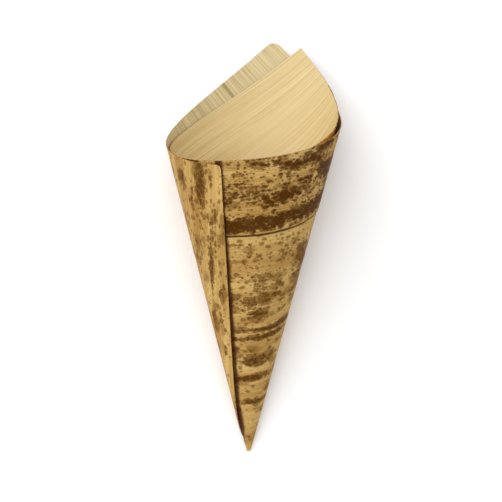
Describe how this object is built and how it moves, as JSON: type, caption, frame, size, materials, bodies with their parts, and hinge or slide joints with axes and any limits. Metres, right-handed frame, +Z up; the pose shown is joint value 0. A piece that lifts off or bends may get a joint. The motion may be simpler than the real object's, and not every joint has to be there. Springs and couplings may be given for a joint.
{
  "type": "food cone",
  "caption": "Serving cone rolled from dried bamboo sheath, open at the top with two peaks and a glued flap down its side, pointed at the bottom, lying on its back.",
  "frame": {"origin": "centre of the bottom of the bounding box, with the cone lying empty on a floor on the side that it rolls to by itself", "axes": "+X runs from the pointed end to the open mouth, +Z is up through the glued flap, and +Y is to the left seen from the pointed end"},
  "size_m": [0.1804, 0.0733, 0.0578],
  "materials": {
    "sheath": "matte, tan with brown mottling along the grain outside, pale straw yellow inside"
  },
  "bodies": {
    "root": {"cone_strip": "sheath", "rim_strip": "sheath"}
  },
  "joints": []
}
